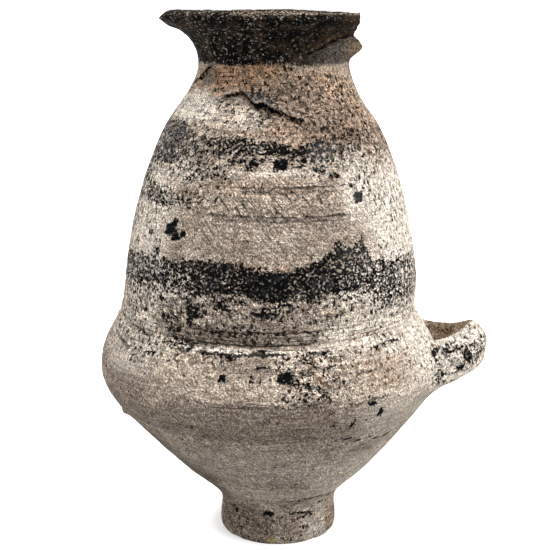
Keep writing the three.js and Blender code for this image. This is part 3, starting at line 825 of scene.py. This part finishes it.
class Nodes:
    # Short names for the nodes that a finish is made of
    thinStroke = 0.00085

    def __init__(self, name):
        self.material = bpy.data.materials.new(name)
        self.material.use_nodes = True
        self.tree = self.material.node_tree
        self.tree.nodes.clear()
        self.object = self.add("ShaderNodeTexCoord").outputs["Object"]
        split = self.add("ShaderNodeSeparateXYZ")
        self.feed(split.inputs[0], self.object)
        self.height = split.outputs["Z"]
        self.sideways = split.outputs["X"]
        sideways = self.math("ADD", self.sideways, 0.0045)
        turn = self.math("ARCTAN2", sideways, self.times(split.outputs["Y"], -1.0))
        self.azimuth = self.times(turn, math.degrees(1.0))
        self.strokeNoise = self.noise(300, 3, 0.65)
        self.strokeGaps = self.noise(150, 3, 0.62)

    def add(self, kind, **settings):
        made = self.tree.nodes.new(kind)
        for name, value in settings.items():
            setattr(made, name, value)
        return made

    def feed(self, socket, value):
        if isinstance(value, bpy.types.NodeSocket):
            self.tree.links.new(value, socket)
        else:
            socket.default_value = value

    def attribute(self, name):
        return self.add("ShaderNodeAttribute", attribute_name=name).outputs["Fac"]

    def math(self, operation, first, second=0.0, third=0.0, clamp=False):
        made = self.add("ShaderNodeMath", operation=operation, use_clamp=clamp)
        for socket, value in zip(made.inputs, (first, second, third)):
            self.feed(socket, value)
        return made.outputs[0]

    def times(self, first, second):
        return self.math("MULTIPLY", first, second)

    def less(self, first, second):
        return self.math("SUBTRACT", first, second)

    def most(self, first, second):
        return self.math("MAXIMUM", first, second)

    def plus(self, value, factor, base):
        # value x factor + base
        return self.math("MULTIPLY_ADD", value, factor, base)

    def ramp(self, value, low, high, first=0.0, last=1.0):
        # A smooth step from first to last as value goes from low to high
        made = self.add("ShaderNodeMapRange", interpolation_type="SMOOTHSTEP")
        for socket, item in zip(made.inputs, (value, low, high, first, last)):
            self.feed(socket, item)
        return made.outputs[0]

    def patchy(self, name, noise, low, high, first=0.0, last=1.0):
        # A point attribute, broken up by noise
        return self.times(self.attribute(name), self.ramp(noise, low, high, first, last))

    def stretched(self, scale):
        made = self.add("ShaderNodeMapping")
        self.feed(made.inputs["Vector"], self.object)
        made.inputs["Scale"].default_value = scale
        return made.outputs[0]

    def slanted(self, angle, squeeze):
        # Place on the wall, as way round and height, turned by an angle and squeezed along it
        turn = math.radians(angle)
        way = self.times(self.azimuth, 0.0019)
        along = self.plus(self.height, -math.sin(turn) * squeeze, self.times(way, math.cos(turn) * squeeze))
        across = self.plus(self.height, math.cos(turn), self.times(way, math.sin(turn)))
        made = self.add("ShaderNodeCombineXYZ")
        self.feed(made.inputs[0], along)
        self.feed(made.inputs[1], across)
        return made.outputs[0]

    def noise(self, scale, detail=3.0, roughness=0.6, vector=None, distortion=0.0):
        made = self.add("ShaderNodeTexNoise")
        self.feed(made.inputs["Vector"], vector or self.object)
        made.inputs["Scale"].default_value = scale
        made.inputs["Detail"].default_value = detail
        made.inputs["Roughness"].default_value = roughness
        made.inputs["Distortion"].default_value = distortion
        return made.outputs["Fac"]

    def cells(self, scale):
        made = self.add("ShaderNodeTexVoronoi")
        self.feed(made.inputs["Vector"], self.object)
        made.inputs["Scale"].default_value = scale
        return made

    def blend(self, share, first, second):
        made = self.add("ShaderNodeMix", data_type="RGBA", blend_type="MIX", clamp_factor=True)
        self.feed(made.inputs[0], share)
        self.feed(made.inputs[6], first)
        self.feed(made.inputs[7], second)
        return made.outputs[2]

    def shaded(self, colour, level):
        # The colour with its brightness multiplied by a number
        made = self.add("ShaderNodeVectorMath", operation="SCALE")
        self.feed(made.inputs[0], colour)
        self.feed(made.inputs["Scale"], level)
        return made.outputs[0]

    def stroke(self, azimuths, heights, width):
        # A scratched line through listed points: 1 on it, 0 at its width away and past its ends
        # Besides scratches, this draws painted shadow along broken edges and grooves and a painted highlight
        # above the scar
        first, last, low, high = azimuths[0], azimuths[-1], min(heights), max(heights)
        made = self.add("ShaderNodeFloatCurve")
        curve = made.mapping.curves[0]
        spots = [((azimuth - first) / (last - first), (height - low) / max(high - low, 1e-6))
                 for azimuth, height in zip(azimuths, heights)]
        curve.points[0].location, curve.points[1].location = spots[0], spots[-1]
        for spot in spots[1:-1]:
            curve.points.new(*spot)
        for point in curve.points:
            point.handle_type = "VECTOR"
        made.mapping.update()
        along = self.math("DIVIDE", self.less(self.azimuth, first), last - first)
        self.feed(made.inputs["Value"], along)
        level = self.plus(made.outputs[0], high - low, low)
        ragged = self.plus(self.strokeNoise, 0.0080, -0.0040)
        away = self.math("ABSOLUTE", self.less(self.math("ADD", self.height, ragged), level))
        reach = self.ramp(self.strokeGaps, 0.38, 0.62, width * 0.4, width * 1.6)
        inside = self.ramp(self.math("DIVIDE", away, reach), 0.40, 1.0, 1.0, 0.0)
        ends = self.times(self.ramp(along, -0.02, 0.06), self.ramp(along, 0.94, 1.02, 1.0, 0.0))
        if width < self.thinStroke:  # a thin scratch comes and goes
            ends = self.times(self.ramp(self.times(self.strokeGaps, ends), 0.40, 0.47), ends)
        return self.times(inside, ends)

    def finish(self, colour, roughness, height, relief, specular):
        bump = self.add("ShaderNodeBump")
        bump.inputs["Strength"].default_value = 1.0
        bump.inputs["Distance"].default_value = relief
        self.feed(bump.inputs["Height"], height)
        surface = self.add("ShaderNodeBsdfPrincipled")
        self.feed(surface.inputs["Base Color"], colour)
        self.feed(surface.inputs["Roughness"], roughness)
        surface.inputs["Specular IOR Level"].default_value = specular
        self.feed(surface.inputs["Normal"], bump.outputs[0])
        output = self.add("ShaderNodeOutputMaterial")
        self.feed(output.inputs["Surface"], surface.outputs[0])
        return self.material


# Colours of the outside
clayColours = {
    "clay": srgb(172, 155, 139),
    "clayDark": srgb(128, 113, 100),
    "clayLight": srgb(204, 189, 173),
    "warm": srgb(170, 132, 101),
    # pale: pale clay, and also a painted highlight on the ledge
    "paleAndHighlight": srgb(244, 232, 217),
    # dull: the tone of dull clay, and also of painted shade
    "dullAndShade": srgb(122, 111, 101),
    "speck": srgb(18, 17, 16),
    "lime": srgb(240, 233, 223),
    "slip": srgb(9, 10, 11),
    "slipThin": srgb(76, 77, 79),
    # soot: soot black, also standing in for shade under the flare
    "sootAndShade": srgb(12, 11, 10),
    "sootBrown": srgb(68, 55, 43),
    "sootSpeck": srgb(184, 177, 166),
    "ash": srgb(128, 120, 110),
    "lip": srgb(88, 68, 54),
    "pit": srgb(132, 99, 67),
    "line": srgb(52, 43, 35),
    # crack: near black for cracks and scratches, and for painted shadow along broken edges and grooves
    "crack": srgb(7, 6, 6),
    "yellow": srgb(186, 168, 100),
    "arm": srgb(172, 145, 118),
    "spall": srgb(158, 124, 94),
}

# Dark lines: azimuths, heights, width in metres and darkness. Those along the steps of the scar, the flake
# and the mouth's break, and along the grooves and ledge of the belt, are painted shadow; the rest are
# scratches
scarTurns, scarLevels = damage["scar"]["azimuths"], [height - 0.0008 for height in damage["scar"]["heights"]]
flakeTurns, flakeLevels = damage["flake"]["azimuths"], damage["flake"]["heights"]
mouthTurns, mouthLevels = damage["mouth"]["azimuths"], damage["mouth"]["heights"]
strokes = [
    (scarTurns[1:-1], scarLevels[1:-1], 0.0010, 1.0),
    (scarTurns[6:10], scarLevels[6:10], 0.0019, 1.0),
    (scarTurns[8:13], scarLevels[8:13], 0.0014, 1.0),
    ([-36, -34, -31], [0.3205, 0.3196, 0.3222], 0.0012, 0.9),
    (flakeTurns[0:6], flakeLevels[0:6], 0.0014, 1.0),
    (flakeTurns[5:9], flakeLevels[5:9], 0.0012, 0.9),
    (mouthTurns, mouthLevels, 0.0019, 1.0),
    ([30, 37, 45, 54], [0.1610, 0.1612, 0.1630, 0.1618], 0.0008, 1.0),
    ([38, 45, 50], [0.1616, 0.1634, 0.1630], 0.0013, 0.9),
    ([-30, -10, 10, 20], [0.1772, 0.1768, 0.1770, 0.1772], 0.0010, 0.95),
    ([-34, -12, 8, 16], [0.1690, 0.1686, 0.1690, 0.1692], 0.0009, 0.75),
    ([-26, -14, 0, 6], [0.1636, 0.1632, 0.1642, 0.1640], 0.0012, 0.95),
    ([-8, -2, 5], [0.1638, 0.1644, 0.1640], 0.0014, 0.95),
    ([-64, -56, -48], [0.1700, 0.1684, 0.1662], 0.0009, 0.85),
    ([-74, -66, -57], [0.1602, 0.1582, 0.1566], 0.0008, 0.8),
    ([-28, 0, 36], [0.2692, 0.2690, 0.2686], 0.0008, 0.75),
    ([-14, 6, 34], [0.2664, 0.2662, 0.2655], 0.0008, 0.75),
    ([-34, -8, 8, 34], [0.2522, 0.2508, 0.2504, 0.2502], 0.0008, 0.70),
    ([-20, 4, 24], [0.2490, 0.2482, 0.2478], 0.0008, 0.70),
    ([-24, 2, 26], [0.1552, 0.1546, 0.1548], 0.0005, 0.6),
    ([-26, -4, 16], [0.1341, 0.1334, 0.1338], 0.0006, 0.7),
    ([28, 34, 40], [0.1490, 0.1494, 0.1500], 0.0006, 0.75),
    ([24, 32, 40], [0.1310, 0.1318, 0.1326], 0.0006, 0.75),
    ([10, 18, 26, 40], [0.0380, 0.0378, 0.0386, 0.0396], 0.0008, 1.0),
    ([14, 22, 34, 46], [0.0242, 0.0240, 0.0232, 0.0212], 0.0008, 1.0),
    ([24, 32, 42], [0.0188, 0.0206, 0.0226], 0.0010, 1.0),
    ([-49, -45, -40], [0.0236, 0.0222, 0.0216], 0.0014, 1.0),
    ([-9, -4.5, 0], [0.0236, 0.0245, 0.0236], 0.0014, 1.0),
]


def bareClay(mix, hues, fine, grain, wiped, brushed):
    # Clay, from dark to light by broad and fine noise
    mottle = mix.noise(150, 4, 0.62)
    broad = mix.noise(26, 3, 0.55)
    colour = mix.blend(mix.ramp(mottle, 0.36, 0.64), hues["clay"], hues["clayLight"])
    colour = mix.blend(mix.ramp(broad, 0.46, 0.72, 0.0, 0.6), colour, hues["clayDark"])
    colour = mix.blend(mix.patchy("warm", mottle, 0.34, 0.58, 0.25), colour, hues["warm"])
    # The dull tone is partly painted shade: under the belly, round the foot, down the left side, in the
    # grooves and under the broken steps
    dullAndShadeTone = mix.blend(mix.ramp(mottle, 0.38, 0.62), hues["clayDark"], hues["dullAndShade"])
    colour = mix.blend(mix.attribute("dullAndShade"), colour, dullAndShadeTone)
    colour = mix.shaded(colour, mix.ramp(grain, 0.45, 0.55, 0.70, 1.28))
    # Pale clay, with a painted highlight along the ledge's ridge
    colour = mix.blend(mix.patchy("paleAndHighlight", grain, 0.36, 0.52, 0.64), colour, hues["paleAndHighlight"])
    # Wiping and brushing streaks, grain and specks
    colour = mix.shaded(colour, mix.ramp(wiped, 0.38, 0.62, 0.82, 1.18))
    brushTone = mix.less(mix.ramp(brushed, 0.38, 0.62), 0.5)
    colour = mix.shaded(colour, mix.plus(brushTone, mix.times(mix.attribute("brushed"), 0.52), 1.0))
    colour = mix.shaded(colour, mix.ramp(fine, 0.41, 0.59, 0.44, 1.52))
    speckle = mix.attribute("speckle")
    cloudy = mix.less(mix.ramp(mix.noise(240, 4, 0.7), 0.42, 0.58), 0.5)
    colour = mix.shaded(colour, mix.plus(cloudy, mix.times(speckle, 0.96), 1.0))
    colour = mix.blend(mix.ramp(mix.noise(620, 2, 0.5), 0.66, 0.69, 0.0, 0.6), colour, hues["lime"])
    speckNoise = mix.noise(400, 3, 0.62, mix.stretched((1.0, 1.0, 0.8)), 0.5)
    speckEdge = mix.plus(speckle, -0.115, 0.658)
    speckMask = mix.ramp(mix.less(speckNoise, speckEdge), -0.008, 0.012, 0.0, 0.95)
    return mix.blend(speckMask, colour, hues["speck"])


def incisedLines(mix):
    # Level lines a fixed pitch apart, and slanting ones, where the point attributes call for them
    wander = mix.plus(mix.noise(24, 2, 0.5), 0.0040, mix.height)
    pitch = mix.math("PINGPONG", mix.times(wander, 1.0 / 0.00135), 1.0)
    broken = mix.ramp(mix.noise(90, 3, 0.6, mix.stretched((0.45, 0.45, 2.2))), 0.46, 0.54)
    level = mix.times(mix.patchy("lined", pitch, 0.70, 0.95), broken)
    scratched = mix.noise(420, 1, 0.5, mix.slanted(44, 0.13))
    return mix.most(level, mix.patchy("hatched", scratched, 0.62, 0.67))


def brownPits(mix, hues, grain):
    # Pits in random cells and of random sizes, dark at the rim: their mask and their colour
    cells = mix.cells(205)
    pick = mix.add("ShaderNodeSeparateColor")
    mix.feed(pick.inputs[0], cells.outputs["Color"])
    here = mix.math("LESS_THAN", pick.outputs[0], mix.times(mix.attribute("pitted"), 0.95))
    size = mix.plus(grain, 0.36, mix.plus(pick.outputs[1], 0.18, -0.06))
    inside = mix.less(size, cells.outputs["Distance"])
    mask = mix.times(mix.ramp(inside, -0.03, 0.04), here)
    return mask, mix.blend(mix.ramp(inside, 0.02, 0.08), hues["line"], hues["pit"])


def flakedSlip(mix, hues, fine, grain):
    # Slip that has flaked away: it is left where noise is under the share that remains
    share = mix.attribute("slip")
    chips = mix.noise(330, 3, 0.62, mix.stretched((0.85, 0.85, 1.2)), 0.3)
    noise = mix.plus(chips, 0.52, mix.times(mix.noise(640, 3, 0.65), 0.48))
    edge = mix.less(share, mix.ramp(noise, 0.38, 0.62))
    fleck = mix.ramp(mix.noise(620, 3, 0.6), 0.560, 0.585, 0.0, 0.98)
    fleck = mix.times(fleck, mix.ramp(share, 0.84, 1.04, 1.0, 0.45))
    fleck = mix.times(fleck, mix.ramp(edge, 0.15, 0.95, 1.0, 0.0))
    mask = mix.math("SUBTRACT", mix.ramp(edge, -0.03, 0.04), fleck, 0.0, True)
    thin = mix.most(mix.attribute("thin"), mix.ramp(mix.noise(120, 3, 0.6), 0.54, 0.68, 0.0, 0.5))
    tone = mix.blend(mix.times(thin, mix.ramp(grain, 0.42, 0.58, 0.30, 1.0)), hues["slip"], hues["slipThin"])
    return mask, mix.shaded(tone, mix.ramp(fine, 0.39, 0.61, 0.50, 1.60))


def burntAndShadedMouth(mix, hues, fine, grain):
    # The burnt mouth, its black soot deepened by painted shade under the flare, ashen on the broken side,
    # with its worn lip, lightened in part by a painted highlight along its top, and the rough clay of a spall
    mask = mix.ramp(mix.plus(mix.less(grain, 0.5), 2.2, mix.attribute("sootAndShade")), 0.42, 0.58)
    brown = mix.most(mix.ramp(mix.noise(110, 4, 0.6), 0.46, 0.62, 0.0, 0.9),
                     mix.ramp(mix.sideways, 0.030, 0.060, 0.0, 0.8))
    tone = mix.blend(brown, hues["sootAndShade"], hues["sootBrown"])
    speck = mix.ramp(mix.noise(480, 3, 0.7), 0.59, 0.62)
    speck = mix.times(speck, mix.ramp(mix.sideways, -0.020, 0.030, 0.85, 0.34))
    tone = mix.blend(speck, tone, hues["sootSpeck"])
    tone = mix.blend(mix.patchy("ashen", grain, 0.42, 0.58, 0.1), tone, hues["ash"])
    tone = mix.shaded(tone, mix.ramp(fine, 0.39, 0.61, 0.40, 1.6))
    # Worn brown lip with pale specks, partly a painted highlight along its top
    lipAndHighlightTone = mix.blend(mix.ramp(grain, 0.52, 0.60), hues["lip"], hues["clayLight"])
    tone = mix.blend(mix.patchy("lip", mix.noise(300, 4, 0.7), 0.46, 0.54), tone, lipAndHighlightTone)
    rough = mix.blend(mix.ramp(grain, 0.42, 0.56), hues["line"], hues["spall"])
    return mask, mix.blend(mix.attribute("spall"), tone, rough)


def outerClay():
    mix = Nodes("impastoClay")
    hues = clayColours
    fine = mix.noise(1400, 1, 0.7)
    grain = mix.noise(600, 3, 0.72)
    wiped = mix.noise(640, 2, 0.6, mix.stretched((0.09, 0.09, 1.0)))
    brushed = mix.noise(800, 2, 0.6, mix.slanted(42, 0.20))
    colour = bareClay(mix, hues, fine, grain, wiped, brushed)
    lines = incisedLines(mix)
    colour = mix.blend(mix.times(lines, 0.80), colour, hues["line"])
    pits, pitTone = brownPits(mix, hues, grain)
    colour = mix.blend(pits, colour, pitTone)
    slip, slipTone = flakedSlip(mix, hues, fine, grain)
    colour = mix.blend(slip, colour, slipTone)
    sootAndShade, sootAndShadeTone = burntAndShadedMouth(mix, hues, fine, grain)
    colour = mix.blend(sootAndShade, colour, sootAndShadeTone)
    armTone = mix.blend(mix.ramp(grain, 0.40, 0.50), hues["line"], hues["arm"])
    colour = mix.blend(mix.patchy("brownArm", fine, 0.38, 0.58, 1.0, 0.55), colour, armTone)
    colour = mix.blend(mix.patchy("yellow", grain, 0.38, 0.48), colour, hues["yellow"])
    # Cracks and scratches, with painted shadow along the broken edges and grooves, and a painted highlight on
    # the rim above the scar
    cracksAndShadows = 0.0
    for azimuths, heights, width, darkness in strokes:
        cracksAndShadows = mix.most(mix.times(mix.stroke(azimuths, heights, width), darkness), cracksAndShadows)
    # A painted highlight along the raised edge above the scar
    rimHighlight = mix.stroke(scarTurns, [level + 0.0028 for level in scarLevels], 0.0016)
    colour = mix.blend(mix.times(rimHighlight, mix.ramp(grain, 0.44, 0.58, 0.0, 0.5)), colour, hues["clayLight"])
    colour = mix.blend(cracksAndShadows, colour, hues["crack"])
    # Wear: grain, wiping and brushing, slip standing proud, pits, lines and cracks sunk
    height = mix.plus(grain, 0.5, mix.times(fine, 0.3))
    height = mix.plus(wiped, 0.9, height)
    height = mix.plus(mix.times(brushed, mix.attribute("brushed")), 0.8, height)
    for mark, rise in [(slip, 0.22), (pits, -0.7), (lines, -0.8), (cracksAndShadows, -0.9)]:
        height = mix.plus(mark, rise, height)
    rough = mix.ramp(mix.most(slip, mix.times(sootAndShade, 0.7)), 0.0, 1.0, 0.97, 0.80)
    return mix.finish(colour, rough, height, 0.0012, 0.025)


def innerClay():
    # Brown inside with turning rings, burnt dark in the mouth
    mix = Nodes("innerClay")
    mottle = mix.noise(70, 4, 0.6)
    grain = mix.noise(700, 4, 0.68)
    ringed = mix.noise(260, 3, 0.6, mix.stretched((0.1, 0.1, 1.0)))
    colour = mix.blend(mix.ramp(mottle, 0.38, 0.62), srgb(92, 76, 62), srgb(138, 118, 98))
    burnt = mix.ramp(mix.plus(mottle, 0.03, mix.height), 0.345, 0.368)
    burntTone = mix.blend(mix.ramp(grain, 0.50, 0.66), srgb(34, 29, 25), srgb(92, 76, 62))
    colour = mix.blend(burnt, colour, burntTone)
    colour = mix.shaded(colour, mix.ramp(grain, 0.36, 0.64, 0.66, 1.3))
    colour = mix.shaded(colour, mix.ramp(ringed, 0.36, 0.64, 0.86, 1.12))
    height = mix.plus(grain, 0.7, mix.times(ringed, 0.7))
    return mix.finish(colour, 0.95, height, 0.0010, 0.25)


def brokenClay():
    # The torn core at the break, brown with pale grit
    mix = Nodes("brokenClay")
    grain = mix.noise(620, 5, 0.7)
    mottle = mix.noise(160, 4, 0.6)
    colour = mix.blend(mix.ramp(mottle, 0.40, 0.60), srgb(58, 46, 37), srgb(118, 96, 76))
    colour = mix.blend(mix.ramp(grain, 0.58, 0.68), colour, srgb(180, 166, 148))
    colour = mix.shaded(colour, mix.ramp(grain, 0.36, 0.62, 0.55, 1.3))
    return mix.finish(colour, 0.98, mix.plus(mottle, 1.2, grain), 0.0014, 0.2)


def buildUrn():
    materials = [outerClay(), innerClay(), brokenClay()]
    body, handle, cavity, breakTool = bodyPiece(), handlePiece(), cavityPiece(), breakPiece()
    print("body surface", len(body.data.polygons), "faces")
    for piece in (body, handle, cavity, breakTool):
        for material in materials:
            piece.data.materials.append(material)
    body = joined(body, handle, "UNION")
    body = joined(body, cavity, "DIFFERENCE")
    body = joined(body, breakTool, "DIFFERENCE")
    body.data.name = "urnClay"
    softenRoots(body.data)
    paintPoints(body.data)
    body.data.polygons.foreach_set("use_smooth", np.ones(len(body.data.polygons), dtype=bool))
    body.data.set_sharp_from_angle(angle=math.radians(52))
    body.data.update()
    body.data.calc_loop_triangles()
    print("urn surface", len(body.data.loop_triangles), "triangles")
    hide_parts("urn")
    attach(body, "root")
    return body


# The studio: a pale floor that glows, with a painted contact shadow round the foot, a soft dome that is
# brightest above, and a wide sun on each side
studio = {
    "floorHalf": 60.0,
    "paintedShadowEdge": (0.043, 0.066),
    "paintedFloorGlow": (0.30, 0.95),
    "domeLow": 0.42,
    "domeHigh": 0.70,
    "suns": {"right": (66.0, 40.0, 40.0, 2.35), "left": (-74.0, 44.0, 40.0, 1.0)},
    "cameraPlace": (-0.0023, -0.830, 0.383),
    "cameraTilt": 12.99,
    "lens": 76.73,
}


def makeFloor():
    # A pale floor with painted light: its glow rises with distance from the middle, so the wide cast shadow
    # is washed out and only a painted contact shadow round the foot shows
    half = studio["floorHalf"]
    mesh = bpy.data.meshes.new("floor")
    corners = [(-half, -half, 0), (half, -half, 0), (half, half, 0), (-half, half, 0)]
    mesh.from_pydata(corners, [], [(0, 1, 2, 3)])
    floor = bpy.data.objects.new("floor", mesh)
    bpy.context.scene.collection.objects.link(floor)
    floor.visible_diffuse = False
    mix = Nodes("paleFloorPaintedGlow")
    surface = mix.add("ShaderNodeBsdfPrincipled")
    surface.inputs["Base Color"].default_value = (0.9, 0.9, 0.9, 1.0)
    surface.inputs["Roughness"].default_value = 1.0
    surface.inputs["Specular IOR Level"].default_value = 0.0
    surface.inputs["Emission Color"].default_value = (1.0, 1.0, 1.0, 1.0)
    away = mix.add("ShaderNodeVectorMath", operation="LENGTH")
    mix.feed(away.inputs[0], mix.object)
    # Painted light: the floor's glow rises with distance, leaving a painted contact shadow round the foot
    paintedGlow = mix.ramp(away.outputs["Value"], *studio["paintedShadowEdge"], *studio["paintedFloorGlow"])
    mix.feed(surface.inputs["Emission Strength"], paintedGlow)
    output = mix.add("ShaderNodeOutputMaterial")
    mix.feed(output.inputs["Surface"], surface.outputs[0])
    mesh.materials.append(mix.material)


def makeDome():
    # The surround's strength rises from domeLow straight down to domeHigh straight up, and the camera sees
    # plain white
    world = bpy.data.worlds.new("studioWorld")
    world.use_nodes = True
    bpy.context.scene.world = world
    tree = world.node_tree
    background = tree.nodes["Background"]
    background.inputs["Color"].default_value = (1.0, 1.0, 1.0, 1.0)
    kinds = ("TexCoord", "SeparateXYZ", "MapRange", "LightPath", "Mix")
    skyward, split, rise, path, seen = [tree.nodes.new("ShaderNode" + kind) for kind in kinds]
    limits = {"From Min": -0.7, "From Max": 0.7, "To Min": studio["domeLow"], "To Max": studio["domeHigh"]}
    for name, value in limits.items():
        rise.inputs[name].default_value = value
    seen.inputs[3].default_value = 1.0
    for source, socket in [(skyward.outputs["Generated"], split.inputs[0]),
                           (split.outputs["Z"], rise.inputs["Value"]),
                           (path.outputs["Is Camera Ray"], seen.inputs[0]),
                           (rise.outputs[0], seen.inputs[2]),
                           (seen.outputs[0], background.inputs["Strength"])]:
        tree.links.new(source, socket)


def makeSuns():
    # Each sun by its turn from the front, its rise above the floor, its width in degrees and its power
    for side, (turn, rise, width, power) in studio["suns"].items():
        data = bpy.data.lights.new(side + "Sun", "SUN")
        data.energy = power
        data.angle = math.radians(width)
        sun = bpy.data.objects.new(side + "Sun", data)
        bpy.context.scene.collection.objects.link(sun)
        sun.rotation_euler = (math.radians(90.0 - rise), 0.0, math.radians(turn))


def makeCamera():
    data = bpy.data.cameras.new("camera")
    data.lens = studio["lens"]
    data.sensor_width = 36.0
    camera = bpy.data.objects.new("camera", data)
    bpy.context.scene.collection.objects.link(camera)
    camera.location = studio["cameraPlace"]
    camera.rotation_euler = (math.radians(90.0 - studio["cameraTilt"]), 0.0, 0.0)
    bpy.context.scene.camera = camera


buildUrn()
makeFloor()
makeDome()
makeSuns()
makeCamera()
bpy.context.scene.view_settings.view_transform = "Standard"
print("studio ready")
